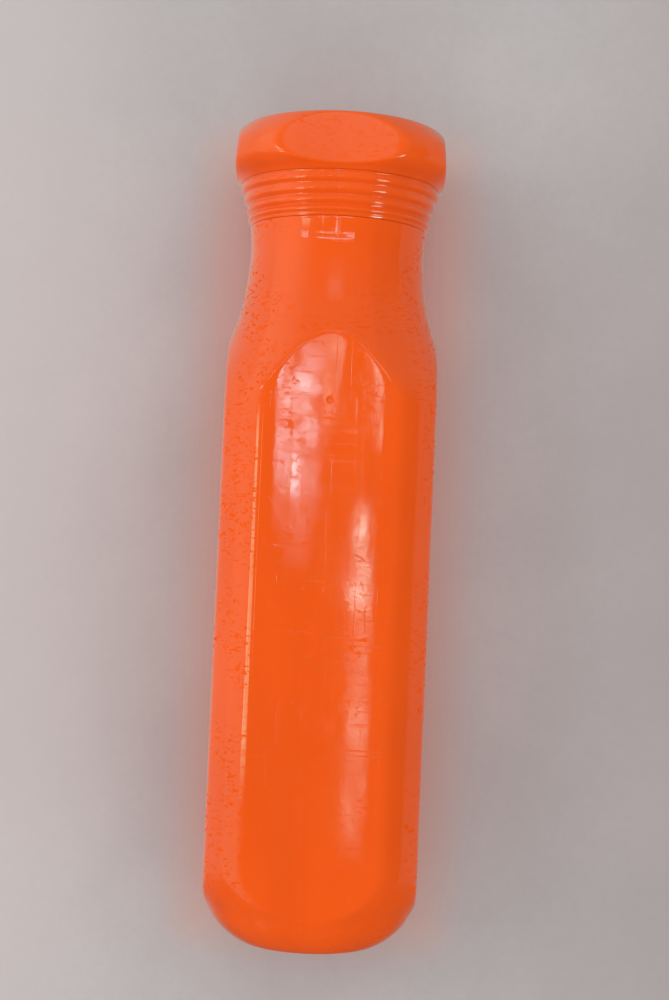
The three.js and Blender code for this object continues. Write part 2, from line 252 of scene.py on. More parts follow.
def rod(name, radius, lo, hi, seg, axis="Z", at=(0, 0, 0), fillet=0, steps=4):
    """A plain cylinder from lo to hi along its axis."""
    outline = [(AXIS_GAP, lo), (radius, lo), (radius, hi), (AXIS_GAP, hi)]
    return turned(name, filleted(outline, [0, fillet, fillet, 0], steps), seg, axis, at)


def tube(name, path, radius, seg):
    """A round wire along a list of points in mm, capped at both ends."""
    p = np.array(path, float)
    tangent = np.gradient(p, axis=0)
    tangent /= np.linalg.norm(tangent, axis=1)[:, None]
    side = np.cross(tangent[0], [0.3, 0.5, 0.81])
    side /= np.linalg.norm(side)
    angles = circle(seg)
    cos, sin = np.cos(angles)[:, None], np.sin(angles)[:, None]
    rings = []
    for i in range(len(p)):
        side = side - tangent[i] * (side @ tangent[i])
        side /= np.linalg.norm(side)
        rings.append(p[i] + radius * (cos * side + sin * np.cross(tangent[i], side)))
    return grid_solid(name, np.array(rings))


def rounded_box(name, lo, hi, radius, seg=3):
    bm = bmesh.new()
    bmesh.ops.create_cube(bm, size=1)
    lo, hi = np.array(lo, float), np.array(hi, float)
    for v in bm.verts:
        v.co = Vector(((np.array(v.co) + 0.5) * (hi - lo) + lo) * MM)
    bmesh.ops.bevel(bm, geom=list(bm.edges), offset=radius * MM, segments=seg, profile=0.5,
                    affect="EDGES")
    mesh = bpy.data.meshes.new(name)
    bm.to_mesh(mesh)
    bm.free()
    return solid(link(name, mesh))


def boolean(obj, tool, how):
    """Joins or cuts with the tool, which is used up."""
    mod = obj.modifiers.new("b", "BOOLEAN")
    mod.operation, mod.object, mod.solver = how, tool, "EXACT"
    depsgraph = bpy.context.evaluated_depsgraph_get()
    mesh = bpy.data.meshes.new_from_object(obj.evaluated_get(depsgraph), depsgraph=depsgraph)
    obj.modifiers.clear()
    old = obj.data
    obj.data = mesh
    bpy.data.meshes.remove(old)
    bpy.data.objects.remove(tool)


def join(obj, tool):
    boolean(obj, tool, "UNION")


def cut(obj, tool):
    boolean(obj, tool, "DIFFERENCE")


def shade(obj, sharp_angle):
    """Smooth faces, with edges steeper than sharp_angle degrees kept sharp."""
    for p in obj.data.polygons:
        p.use_smooth = True
    obj.data.set_sharp_from_angle(angle=math.radians(sharp_angle))


def span(sign, inner, outer):
    """The two ends along Y, low first, of a piece on the +Y or -Y side."""
    return sorted((sign * inner, sign * outer))


def place(obj, piece, group):
    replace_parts(obj, piece)
    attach(obj, group)
    return obj


# ------------------------------------------------------------------ flattened turned surfaces
N_COL = 324
FLAT_HALF_WIDTH = 20.82  # across the face of a flat
ROLL_START, ROLL_RATE = 16.2, 0.0074  # flats roll off beyond this half-width
EDGE_CROWDING, EDGE_SPREAD = 2.6, 2.4  # extra column density and its reach in degrees


def column_angles():
    """Angles round the axis, closer together at the eight edges of the section."""
    angles = np.linspace(0, 2 * math.pi, 14401)
    edge = math.degrees(math.atan2(FLAT_HALF_WIDTH, FLAT))
    degrees = np.degrees(angles)
    density = np.ones_like(angles)
    for k in range(4):
        for e in (90 * k + edge, 90 * k + 90 - edge):
            away = (degrees - e + 180) % 360 - 180
            density += EDGE_CROWDING * np.exp(-((away / EDGE_SPREAD) ** 2))
    total = np.concatenate([[0], np.cumsum((density[1:] + density[:-1]) / 2)])
    total /= total[-1]
    return np.interp(np.arange(N_COL) / N_COL, total, angles)


ANGLES = column_angles()


def depth_in_flats(x, y, half):
    """Signed depth inside the four broad flats, which roll off softly near their edges."""
    ax, ay = np.abs(x), np.abs(y)
    depth_x = half - ax - ROLL_RATE * np.clip(ay - ROLL_START, 0, None) ** 2
    depth_y = half - ay - ROLL_RATE * np.clip(ax - ROLL_START, 0, None) ** 2
    return np.minimum(depth_x, depth_y)


def flattened(profile, half, draft=0.0):
    """Radius and height, rows x columns, where the turned profile meets the flats.

    draft widens the flats by that much per mm below the top, over the first 17 mm.
    """
    p = np.array(profile, float)
    tangent = np.gradient(p, axis=0)
    length = np.hypot(tangent[:, 0], tangent[:, 1])
    steep = np.clip(np.abs(tangent[:, 1]) / np.maximum(length, 1e-9), 0.3, 1)[:, None]
    radius, z = p[:, 0][:, None], p[:, 1][:, None]
    half = half + draft * np.clip(TOP_Z - z, 0, 17)
    c, s = np.cos(ANGLES)[None, :], np.sin(ANGLES)[None, :]
    lo = np.zeros((len(p), N_COL))
    hi = np.broadcast_to(radius, lo.shape) * 1.02 + 1e-6
    # the long edges down the body are rounded more than the arched ends of the flats
    slack = np.clip((radius - np.hypot(half, 14)) / 3.0, 0, 1)
    blend = 0.24 + 0.86 * smoothstep(slack)
    for _ in range(34):
        mid = (lo + hi) / 2
        depth = smooth_min((radius - mid) * steep, depth_in_flats(mid * c, mid * s, half), blend)
        inside = depth > 0
        lo = np.where(inside, mid, lo)
        hi = np.where(inside, hi, mid)
    return (lo + hi) / 2, np.broadcast_to(z, lo.shape)


def thread_ridge(turn, z, start_z, turns):
    """Height of a thread ridge at each row and column, for columns at the given turn."""
    centre = start_z + THREAD_PITCH * turn
    to_end = np.minimum(turn / THREAD_FADE, (turns - turn) / THREAD_FADE)
    ease = smoothstep(np.clip(to_end, 0, 1))
    away = np.abs(z - centre[None, :])
    u = np.clip((THREAD_HALF_WIDTH - away) / THREAD_FLANK, 0, 1)
    return THREAD_HEIGHT * smoothstep(u) * ease[None, :]


# ------------------------------------------------------------------ bottle body
# outlines are [radius, z]
BASE_OUTLINE = [
    (0.5, 2.6), (6, 2.42), (10.5, 1.95), (12.9, 1.3), (14.3, 0.45), (15.6, 0.06),
    (17.3, 0.0), (19.0, 0.05), (20.8, 0.42), (23.0, 1.5), (25.6, 3.3), (27.9, 5.4),
    (29.8, 7.75), (31.8, 11.2), (34.2, 14.7), (36.3, 18.6), (37.65, 22.8), (BODY_RADIUS, 27.5),
]
SHOULDER_OUTLINE = [
    (BODY_RADIUS, 163.0), (37.9, 165.8), (37.2, 169.3), (35.8, 173.4), (34.1, 178.3),
    (32.2, 184.0), (30.25, 189.4), (28.7, 195.2), (27.86, 199.8), (27.3, 204.5),
    (26.92, 208.5), (26.8, 212.2), (26.98, 215.9), (27.2, 218.4),
]
INNER_SHOULDER = [
    (NECK_BORE, 217.6), (19.6, 216.0), (22.6, 213.8), (23.9, 212.0), (24.1, 209), (24.8, 202),
    (26.2, 194.8), (29.5, 183.4), (33.9, 170.6), (35.5, 164.8), (BODY_BORE, 160.2),
]
INNER_FLOOR = [
    (BODY_BORE, 27.0), (32.4, 16.6), (28.2, 9.6), (24.4, 5.4), (20.2, 3.1), (13, 4.3), (0.5, 5.1),
]


def make_bottle():
    lip = [(27.2, 218.4), (27.3, PARTING_Z), (NECK_RADIUS, PARTING_Z), (NECK_RADIUS, 221.0)]
    rim = [(NECK_RADIUS, 230.2), (NECK_RADIUS, RIM_Z), (NECK_BORE, RIM_Z), (NECK_BORE, 228)]
    outer = chain(
        spline(BASE_OUTLINE, 0.8),
        line((BODY_RADIUS, 27.5), (BODY_RADIUS, 163.0), 5.5),
        spline(SHOULDER_OUTLINE, 0.62),
        filleted(lip, [0, 0.12, 0.5, 0]),
        line((NECK_RADIUS, 221.0), (NECK_RADIUS, 230.2), 0.26),
    )
    inner = chain(
        filleted(rim, [0, 0.7, 0.6, 0], 5),
        line((NECK_BORE, 228), (NECK_BORE, 217.6), 3.0),
        spline(INNER_SHOULDER, 2.4),
        line((BODY_BORE, 160.2), (BODY_BORE, 27.0), 22.0),
        spline(INNER_FLOOR, 2.6),
    )
    rho_out, z_out = flattened(outer, FLAT)
    # a turn and a half of thread standing out of the neck
    for n in (0, 1):
        ridge = thread_ridge(ANGLES / (2 * math.pi) + n, z_out, THREAD_Z, 1.5)
        on_neck = (z_out > 220.6) & (rho_out < 21.5)
        rho_out = np.where(on_neck, np.maximum(rho_out, NECK_RADIUS + ridge), rho_out)
    rho_in, z_in = flattened(inner, FLAT - WALL)
    rho = np.concatenate([rho_out, rho_in[1:]])
    z = np.concatenate([z_out, z_in[1:]])
    return grid_solid("bottle_shell", around(rho, z, ANGLES))


bottle = place(make_bottle(), "bottle_body", "bottle")

# ------------------------------------------------------------------ cover crown
CROWN_FOOT = [(29.0, 232.75), (30.55, 232.75), (31.1, 233.3)]
CROWN_OUTER = [
    (31.1, 233.3), (31.9, 233.9), (33.2, 234.6), (34.9, 235.6), (36.3, 236.9), (37.0, 238.3),
    (37.2, 239.9), (36.95, 241.8), (36.2, 243.8), (35.0, 245.6), (33.6, 247.3), (32.2, 248.75),
    (30.7, 249.95), (28.4, 250.55), (24, 250.76), (15, 250.92), (8, 250.98), (0.6, TOP_Z),
]
CROWN_INNER = [
    (0.6, 248.7), (15, 248.6), (27.6, 248.4), (29.6, 247.9), (31.6, 246.3), (33.6, 244.0),
    (34.6, 241.8), (34.8, 240.4), (33.6, 238.8), (31.0, 236.8), (28.5, 235.5),
]
CROWN_TOP_INSET, CROWN_DRAFT = 0.65, 0.08


def make_crown():
    outer = chain(filleted(CROWN_FOOT, [0, 0.08, 0]), spline(CROWN_OUTER, 0.34))
    inner = chain(spline(CROWN_INNER, 1.6), line((28.3, 235.2), (28.3, 233.0), 1.1))
    outside = around(*flattened(outer, CROWN_FLAT - CROWN_TOP_INSET, CROWN_DRAFT), ANGLES)
    inside = around(*flattened(inner, CROWN_FLAT - WALL), ANGLES)
    return grid_solid("cover_crown_shell", np.concatenate([inside, outside]))


crown = place(make_crown(), "cover_crown", "cover")

# ------------------------------------------------------------------ cover skirt
SKIRT_GROOVES = [(27.30, 220.35), (27.58, 222.85), (28.26, 225.80), (29.42, 229.05), (30.50, 232.1)]
BEAD_HEIGHT = 0.80
# top edge, step up inside the crown, bore and foot
SKIRT_REST = [
    (30.55, 232.1), (30.5, 232.66), (28.0, 232.66), (28.0, 235.1), (25.4, 235.1),
    (25.4, 219.46), (27.1, 219.46), (27.24, 219.50),
]
SKIRT_REST_FILLETS = [0, 0.06, 0.1, 0.3, 0.3, 0.25, 0.04, 0]


def make_skirt():
    """Four rounded beads between grooves, widening upward."""
    beads = []
    for (r0, z0), (r1, z1) in zip(SKIRT_GROOVES[:-1], SKIRT_GROOVES[1:]):
        u = (1 - np.cos(np.linspace(0, math.pi, 19))) / 2
        bump = BEAD_HEIGHT * np.sin(math.pi * u) ** 1.7
        dr, dz = r1 - r0, z1 - z0
        length = math.hypot(dr, dz)
        beads.append(np.stack([r0 + dr * u + bump * dz / length,
                               z0 + dz * u - bump * dr / length], -1))
    profile = chain(*beads, filleted(SKIRT_REST, SKIRT_REST_FILLETS, 3))
    return turned("cover_skirt_shell", profile, 256, ring=True)


skirt = place(make_skirt(), "cover_skirt", "cover")

# ------------------------------------------------------------------ lid collar
COLLAR_SEG = 240
COLLAR_THREAD_TOP, COLLAR_THREAD_FOOT = 231.0, 220.9
COLLAR_UNDERSIDE = [(0.4, 232.3), (COLLAR_BORE, 232.3), (COLLAR_BORE, COLLAR_THREAD_TOP)]
# foot, outer wall with the seal groove, and top
COLLAR_OUTSIDE = [
    (COLLAR_BORE, COLLAR_THREAD_FOOT), (22.6, 220.15), (COLLAR_RADIUS, 220.15),
    (COLLAR_RADIUS, 232.6), (24.1, 232.6), (24.1, 234.0), (COLLAR_RADIUS, 234.0),
    (COLLAR_RADIUS, COLLAR_TOP_Z), (0.4, COLLAR_TOP_Z),
]
COLLAR_OUTSIDE_FILLETS = [0, 0.15, 0.4, 0.15, 0.12, 0.12, 0.12, 0.45, 0]
NIPPLE_OUTLINE = [(AXIS_GAP, 223.5), (2.7, 223.5), (3.1, 224.4), (3.1, 232.9), (AXIS_GAP, 232.9)]


def threaded_collar():
    """The collar with one and a quarter turns of thread standing into its bore."""
    profile = chain(
        filleted(COLLAR_UNDERSIDE, [0, 0.5, 0]),
        line((COLLAR_BORE, COLLAR_THREAD_TOP), (COLLAR_BORE, COLLAR_THREAD_FOOT), 0.3),
        filleted(COLLAR_OUTSIDE, COLLAR_OUTSIDE_FILLETS),
    )
    angles = circle(COLLAR_SEG)
    r = np.repeat(profile[:, 0][:, None], COLLAR_SEG, 1)
    h = np.repeat(profile[:, 1][:, None], COLLAR_SEG, 1)
    in_bore = (np.abs(profile[:, 0] - COLLAR_BORE) < 0.02)[:, None] & (h < COLLAR_THREAD_TOP)
    # the ridge starts a quarter turn on from the neck's
    start_z = THREAD_Z - COLLAR_THREAD_DROP + THREAD_PITCH / 4
    for n in (0, 1):
        turn = (angles - math.pi / 2) / (2 * math.pi) + n
        ridge = thread_ridge(turn, h, start_z, 1.25)
        r = np.where(in_bore, np.minimum(r, COLLAR_BORE - ridge), r)
    return grid_solid("lid_collar_moulding", around(r, h, angles))


def make_collar():
    collar = threaded_collar()
    for sign in (1, -1):
        y0, y1 = span(sign, 8.2, 10.4)
        ear = rod("ear", EAR_RADIUS, y0, y1, 64, "Y", HINGE_AT, fillet=0.3)
        join(ear, rounded_box("post", (HINGE_X - EAR_RADIUS, y0, 234.2),
                              (HINGE_X + EAR_RADIUS, y1, HINGE_Z), 0.3))
        cut(ear, rod("hole", PIN_HOLE, -12, 12, 48, "Y", HINGE_AT))
        join(collar, ear)
        y0, y1 = span(sign, 4.7, 5.8)
        join(collar, rounded_box("rib", (0.5, y0, 234.2), (6.5, y1, 240.2), 0.35))
    nipple = filleted(NIPPLE_OUTLINE, [0, 0.2, 0.3, 0, 0], 3)
    join(collar, turned("nipple", nipple, 48, at=STRAW_AT))
    cut(collar, rod("bore", DRINK_BORE, 222, LID_TOP_CUT_Z, 48, at=STRAW_AT))
    # recess for the spout seat, then the vent hole
    cut(collar, rod("bore", 3.65, 234.05, LID_TOP_CUT_Z, 48, at=STRAW_AT))
    cut(collar, rod("bore", 1.2, 231, LID_TOP_CUT_Z, 32, at=VENT_AT))
    shade(collar, 32)
    return collar


collar = place(make_collar(), "lid_collar", "lid")

# ------------------------------------------------------------------ seals and straw
ORING_RADIUS, ORING_Z, ORING_WIRE = 24.7, 233.3, 0.54
GASKET_OUTLINE = [(19.2, 231.15), (20.9, 231.15), (20.9, 232.15), (19.2, 232.15)]
STRAW_OUTLINE = [
    (STRAW_BORE, STRAW_FOOT_Z), (STRAW_RADIUS, STRAW_FOOT_Z),
    (STRAW_RADIUS, 231.9), (STRAW_BORE, 231.9),
]
SEAT_OUTLINE = [(DRINK_BORE, 234.2), (3.45, 234.2), (3.45, 238.0), (DRINK_BORE, 238.0)]
VENT_OUTLINE = [
    (AXIS_GAP, 231.15), (3.2, 231.35), (3.4, 231.6), (1.3, 232.1), (1.0, 232.3),
    (1.0, 235.1), (1.7, 235.1), (1.2, 236.1), (AXIS_GAP, 236.3),
]
VENT_FILLETS = [0, 0.1, 0.1, 0.2, 0.1, 0.05, 0.2, 0.4, 0]


def make_oring():
    section = [(ORING_RADIUS + ORING_WIRE * math.cos(a), ORING_Z + ORING_WIRE * math.sin(a))
               for a in circle(16)]
    return turned("cover_oring_ring", section, 200, ring=True)


def make_gasket():
    section = filleted(GASKET_OUTLINE, 0.22, closed=True)
    return turned("lid_gasket_ring", section, 160, ring=True)


def make_straw():
    section = filleted(STRAW_OUTLINE, 0.2, 3, closed=True)
    straw = turned("straw_tube", section, 64, at=STRAW_AT, ring=True)
    # the foot is cut off at a slant
    slant = rounded_box("slant", (-14, -10, -10), (14, 10, 0), 0.01, 1)
    corner = Vector((HINGE_X - STRAW_RADIUS, 0, STRAW_FOOT_Z)) * MM
    slant.data.transform(Matrix.Translation(corner) @ Matrix.Rotation(-math.pi / 5, 4, "Y"))
    cut(straw, slant)
    shade(straw, 35)
    return straw


def make_seat():
    """A short sleeve under the spout, hollowed on top to fit its hub."""
    section = filleted(SEAT_OUTLINE, 0.25, 3, closed=True)
    seat = turned("spout_seat_seal", section, 64, at=STRAW_AT, ring=True)
    cut(seat, rod("hub", 5.7, -9, 9, 96, "Y", HINGE_AT))
    shade(seat, 35)
    return seat


def make_vent():
    return turned("vent_valve_plug", filleted(VENT_OUTLINE, VENT_FILLETS), 48, at=VENT_AT)


oring = place(make_oring(), "cover_oring", "lid")
gasket = place(make_gasket(), "lid_gasket", "lid_gasket")
straw = place(make_straw(), "straw", "lid")
seat = place(make_seat(), "spout_seat", "lid")
vent = place(make_vent(), "vent_valve", "lid")

# ------------------------------------------------------------------ spout
# outlines are [radius about the spout's line, x]
SPOUT_TUBE = [
    (AXIS_GAP, HINGE_X), (4.2, HINGE_X), (4.2, 9.0), (3.0, 9.0), (3.0, 12.4),
    (3.35, 12.5), (3.35, 13.3), (2.9, 14.0), (AXIS_GAP, 14.0),
]
SPOUT_TUBE_FILLETS = [0, 0, 0.4, 0.1, 0.05, 0.05, 0.1, 0.1, 0]
TIP_OUTLINE = [
    (3.55, 9.3), (4.9, 9.3), (5.4, 10.2), (5.1, 12.0), (5.2, 14.2), (5.9, 15.8),
    (5.8, 17.2), (4.9, 18.5), (3.4, 19.0), (1.9, 18.6), (1.9, 14.4), (3.55, 14.4),
]
TIP_FILLETS = [0.15, 0.3, 0.6, 3, 3, 1.2, 1.0, 0.9, 0.7, 0.3, 0.1, 0.1]


def make_arm():
    """A hub on the hinge line with the spout tube growing out of it."""
    arm = rod("spout_arm_moulding", 5.5, -5.5, 5.5, 128, "Y", HINGE_AT, fillet=0.5, steps=5)
    join(arm, turned("tube", filleted(SPOUT_TUBE, SPOUT_TUBE_FILLETS), 96, "X", SPOUT_AT))
    cut(arm, rod("bore", DRINK_BORE, HINGE_X - 8, 15, 64, "X", SPOUT_AT))
    for sign in (1, -1):
        y0, y1 = span(sign, 3.1, 7)
        cut(arm, rod("hole", PIN_HOLE, y0, y1, 48, "Y", HINGE_AT))
    shade(arm, 32)
    return arm


def make_tip():
    section = filleted(TIP_OUTLINE, TIP_FILLETS, 6, closed=True)
    return turned("spout_mouthpiece_soft", section, 96, "X", SPOUT_AT, ring=True)


def make_pin(side, sign):
    lo, hi = span(sign, 3.4, 10.7)
    return rod(f"hinge_pin_{side}_steel", PIN_RADIUS, lo, hi, 40, "Y", HINGE_AT, fillet=0.25)


def make_spring(side, sign):
    t = np.linspace(0, 1, 120)
    a = t * SPRING_TURNS * 2 * math.pi
    coil = np.stack([HINGE_X + SPRING_RADIUS * np.cos(a),
                     sign * (6.15 + t * SPRING_TURNS * SPRING_PITCH),
                     HINGE_Z + SPRING_RADIUS * np.sin(a)], -1)
    return tube(f"spout_spring_{side}_coil", coil, SPRING_WIRE, 12)


arm = place(make_arm(), "spout_arm", "spout")
tip = place(make_tip(), "spout_mouthpiece", "spout")
for side, sign in (("left", -1), ("right", 1)):
    place(make_pin(side, sign), f"hinge_pin_{side}", "lid")
    place(make_spring(side, sign), f"spout_spring_{side}", "lid")


# ------------------------------------------------------------------ shader nodes
class Net:
    """A short way to lay out the shader nodes of a material or world."""

    def __init__(self, owner):
        owner.use_nodes = True
        self.tree = owner.node_tree
        self.tree.nodes.clear()

    def node(self, kind, inputs=None, **props):
        node = self.tree.nodes.new("ShaderNode" + kind)
        for key, value in props.items():
            setattr(node, key, value)
        self.fill(node, inputs or {})
        return node

    def fill(self, node, inputs):
        """Links or sets inputs by name or index; None leaves one as it is."""
        for key, value in inputs.items():
            if isinstance(value, bpy.types.NodeSocket):
                self.tree.links.new(value, node.inputs[key])
            elif value is not None:
                node.inputs[key].default_value = value

    def math(self, op, a, b=None, c=None):
        return self.node("Math", {0: a, 1: b, 2: c}, operation=op).outputs[0]

    def add(self, a, b):
        return self.math("ADD", a, b)

    def sub(self, a, b):
        return self.math("SUBTRACT", a, b)

    def mul(self, a, b):
        return self.math("MULTIPLY", a, b)

    def vector(self, op, a, b=None, scale=None, out="Vector"):
        return self.node("VectorMath", {0: a, 1: b, "Scale": scale}, operation=op).outputs[out]

    def split(self, vec):
        return self.node("SeparateXYZ", {0: vec}).outputs

    def ramp(self, value, span, to=(0.0, 1.0)):
        """A smooth step from to[0] to to[1] as value crosses span."""
        inputs = {0: value, 1: span[0], 2: span[1], 3: to[0], 4: to[1]}
        return self.node("MapRange", inputs, interpolation_type="SMOOTHSTEP").outputs[0]

    def noise(self, vec, scale, detail=2.0, rough=0.5, distort=0.0):
        return self.node("TexNoise", {"Vector": vec, "Scale": scale, "Detail": detail,
                                      "Roughness": rough, "Distortion": distort}).outputs[0]

    def scaled(self, vec, scale, turn=(0, 0, 0)):
        return self.node("Mapping", {"Vector": vec, "Scale": scale, "Rotation": turn}).outputs[0]

    def mix(self, factor, a, b):
        return self.node("Mix", {0: factor, 6: a, 7: b}, data_type="RGBA").outputs[2]

    def bump(self, height, distance, normal=None):
        return self.node("Bump", {"Height": height, "Distance": distance, "Strength": 1.0,
                                  "Normal": normal}).outputs[0]


def tint(colour, gain):
    """The colour times a gain, one for all or one per channel, as RGBA."""
    gains = gain if isinstance(gain, tuple) else (gain,) * 3
    return tuple(min(1, c * g) for c, g in zip(colour, gains)) + (1,)


def paint(obj, mat):
    obj.data.materials.clear()
    obj.data.materials.append(mat)


# ------------------------------------------------------------------ materials
def principled(name):
    mat = bpy.data.materials.new(name)
    n = Net(mat)
    out = n.node("OutputMaterial")
    bsdf = n.node("BsdfPrincipled")
    n.fill(out, {"Surface": bsdf.outputs[0]})
    return mat, n, bsdf, n.node("TexCoord").outputs["Object"]


def orange_gloss(name, base, wear, pits=()):
    """Gloss orange with specks, scratches and nicks in proportion to wear."""
    mat, n, bsdf, co = principled(name)
    # broad clouding and streaks down the bottle
    cloud = n.noise(co, scale=22, detail=3)
    flow = n.noise(n.scaled(co, (70, 70, 9)), scale=1.0, detail=4, rough=0.55, distort=0.6)
    grain = n.noise(co, scale=2600, rough=0.6)
    shade_mix = n.ramp(n.add(n.mul(cloud, 0.55), n.mul(flow, 0.45)), span=(0.36, 0.64))
    col = n.mix(shade_mix, tint(base, (0.955, 0.93, 0.9)), tint(base, 1.035))
    col = n.mix(n.ramp(grain, span=(0.35, 0.65), to=(0.0, 0.07)), col,
                tint(base, (0.8, 0.72, 0.6)))
    # dust and rub specks
    cells = n.node("TexVoronoi", {"Vector": co, "Scale": 62.0}, feature="F1")
    size = n.ramp(n.noise(co, scale=90, detail=0), span=(0.45, 0.62), to=(0.0, 0.017))
    speck = n.math("LESS_THAN", cells.outputs["Distance"], n.mul(size, 1.0))
    col = n.mix(n.mul(speck, 0.55 * wear), col, (0.85, 0.45, 0.36, 1))
    # fine rubbed scratches, some along the bottle and some across it
    along = n.noise(n.scaled(co, (960, 960, 29), turn=(0.01, 0.02, 0)), scale=1.0,
                    rough=0.6, distort=0.4)
    across = n.noise(n.scaled(co, (52, 900, 1380), turn=(0, 0.42, 0)), scale=1.0,
                     rough=0.6, distort=0.4)
    patchy = n.ramp(n.noise(co, scale=34), span=(0.42, 0.62))
    scratch = n.math("MAXIMUM", n.ramp(along, span=(0.63, 0.70)),
                     n.ramp(across, span=(0.64, 0.70)))
    scratch = n.mul(scratch, n.add(0.25, n.mul(patchy, 0.75)))
    # short dark nicks, lying mostly across the bottle
    dashes = n.noise(n.scaled(co, (430, 430, 1150), turn=(0, 0.22, 0)), scale=1.0, detail=1,
                     distort=1.2)
    nick = n.mul(n.ramp(dashes, span=(0.60, 0.62)),
                 n.ramp(n.noise(co, scale=60), span=(0.40, 0.52)))
    col = n.mix(n.mul(nick, 0.05 * wear), col, (0.60, 0.050, 0.004, 1))
    # roughness rises on scratches and specks; nicks lose their shine
    rough = n.ramp(n.noise(co, scale=120, detail=3, rough=0.6), span=(0.3, 0.7),
                   to=(0.030, 0.065))
    specular = n.math("MULTIPLY_ADD", nick, -0.5 * wear, 0.5)
    rough = n.add(rough, n.mul(scratch, 0.16 * wear))
    rough = n.add(rough, n.mul(speck, 0.3))
    # relief, from the slowest waves to the grain
    wave = n.noise(co, scale=95)
    fine = n.noise(co, scale=420, detail=3, rough=0.62)
    normal = n.bump(wave, distance=0.000012)
    normal = n.bump(fine, distance=0.0000022 * wear, normal=normal)
    normal = n.bump(n.sub(1.0, scratch), distance=0.000008 * wear, normal=normal)
    normal = n.bump(grain, distance=0.0000002, normal=normal)
    for *centre, radius, depth in pits:
        away = n.vector("DISTANCE", co, tuple(centre), out="Value")
        normal = n.bump(n.ramp(away, span=(radius * 0.25, radius)), depth, normal)
    n.fill(bsdf, {"Base Color": col, "Roughness": rough, "IOR": 1.5, "Normal": normal,
                  "Specular IOR Level": specular})
    return mat


def satin_plastic(name, base, rough, grain_size, subsurface=0.0, transmission=0.0):
    mat, n, bsdf, co = principled(name)
    cloud = n.ramp(n.noise(co, scale=60, detail=3), span=(0.3, 0.7))
    col = n.mix(cloud, tint(base, 0.94), tint(base, 1.03))
    spots = n.ramp(n.noise(co, scale=340, detail=4, rough=0.7), span=(0.60, 0.72))
    col = n.mix(n.mul(spots, 0.10), col, tint(base, 0.72))
    normal = n.bump(n.noise(co, scale=grain_size, rough=0.6), distance=0.000012)
    normal = n.bump(n.noise(co, scale=260, detail=3), distance=0.000008, normal=normal)
    uneven = n.ramp(n.noise(co, scale=240, detail=3), span=(0.3, 0.7),
                    to=(rough - 0.07, rough + 0.07))
    n.fill(bsdf, {"Base Color": col, "Roughness": uneven, "Normal": normal})
    if subsurface:
        n.fill(bsdf, {"Subsurface Weight": subsurface, "Subsurface Scale": 1.0,
                      "Subsurface Radius": (0.0025, 0.002, 0.0016)})
    if transmission:
        n.fill(bsdf, {"Transmission Weight": transmission})
    return mat


def drawn_steel(name):
    mat, n, bsdf, co = principled(name)
    lines = n.noise(n.scaled(co, (4200, 260, 4200)), scale=1.0, detail=3, rough=0.6)
    patches = n.ramp(n.noise(co, scale=420, detail=3), span=(0.35, 0.65))
    n.fill(bsdf, {
        "Base Color": n.mix(patches, (0.42, 0.42, 0.43, 1), (0.62, 0.62, 0.63, 1)),
        "Metallic": 1.0,
        "Roughness": n.ramp(lines, span=(0.3, 0.7), to=(0.2, 0.42)),
        "Normal": n.bump(lines, distance=0.000006),
    })
    return mat


BODY_ORANGE = (0.905, 0.105, 0.0082)
COVER_ORANGE = (0.905, 0.109, 0.0092)
# dents in the front flat: x, y, z, radius, depth in metres
BODY_PITS = [
    (-0.0001, -0.032, 0.1639, 0.0013, 0.00022),
    (0.0108, -0.032, 0.1670, 0.0004, 0.00005),
]
paint(bottle, orange_gloss("orange_gloss_body", BODY_ORANGE, wear=1.0, pits=BODY_PITS))
cover_gloss = orange_gloss("orange_gloss_cover", COVER_ORANGE, wear=0.7)
for obj in (crown, skirt):
    paint(obj, cover_gloss)
white = satin_plastic("white_satin_plastic", (0.78, 0.765, 0.73), rough=0.38, grain_size=1500)
for obj in (collar, arm):
    paint(obj, white)
seal = satin_plastic("grey_silicone", (0.50, 0.51, 0.50), rough=0.55, grain_size=2200,
                     subsurface=0.15)
for obj in (oring, gasket, seat, vent):
    paint(obj, seal)
paint(tip, satin_plastic("soft_silicone", (0.56, 0.575, 0.57), rough=0.48, grain_size=1900,
                         subsurface=0.3))
paint(straw, satin_plastic("straw_plastic", (0.72, 0.77, 0.77), rough=0.30, grain_size=1200,
                           transmission=0.55))
steel = drawn_steel("drawn_steel")
for obj in bpy.context.scene.objects:
    if obj.name.startswith(("hinge_pin_", "spout_spring_")) and "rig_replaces" in obj:
        paint(obj, steel)

# ------------------------------------------------------------------ camera
CAMERA_AT = (0.002457, -0.56498, 0.114276)
CAMERA_ROLL, CAMERA_PITCH = math.radians(2.4846), math.radians(2.1879)


def make_camera():
    data = bpy.data.cameras.new("camera")
    data.lens, data.sensor_width, data.sensor_fit = 65.61, 36.0, "AUTO"
    data.clip_start, data.clip_end = 0.01, 20
    camera = link("camera", data)
    cr, sr = math.cos(CAMERA_ROLL), math.sin(CAMERA_ROLL)
    cp, sp = math.cos(CAMERA_PITCH), math.sin(CAMERA_PITCH)
    right, up, back = (cr, -sr * sp, sr * cp), (-sr, -cr * sp, cr * cp), (0, -cp, -sp)
    rows = [[right[i], up[i], back[i], CAMERA_AT[i]] for i in range(3)]
    camera.matrix_world = Matrix(rows + [[0, 0, 0, 1]])
    bpy.context.scene.camera = camera


make_camera()
bpy.context.scene.view_settings.view_transform = "Standard"


# ------------------------------------------------------------------ stage
def quad(name, corners):
    mesh = bpy.data.meshes.new(name)
    mesh.from_pydata([tuple(c) for c in corners], [], [(0, 1, 2, 3)])
    uv = mesh.uv_layers.new(name="UVMap")
    for loop, c in zip(uv.data, ((0, 0), (1, 0), (1, 1), (0, 1))):
        loop.uv = c
    obj = link(name, mesh)
    return obj


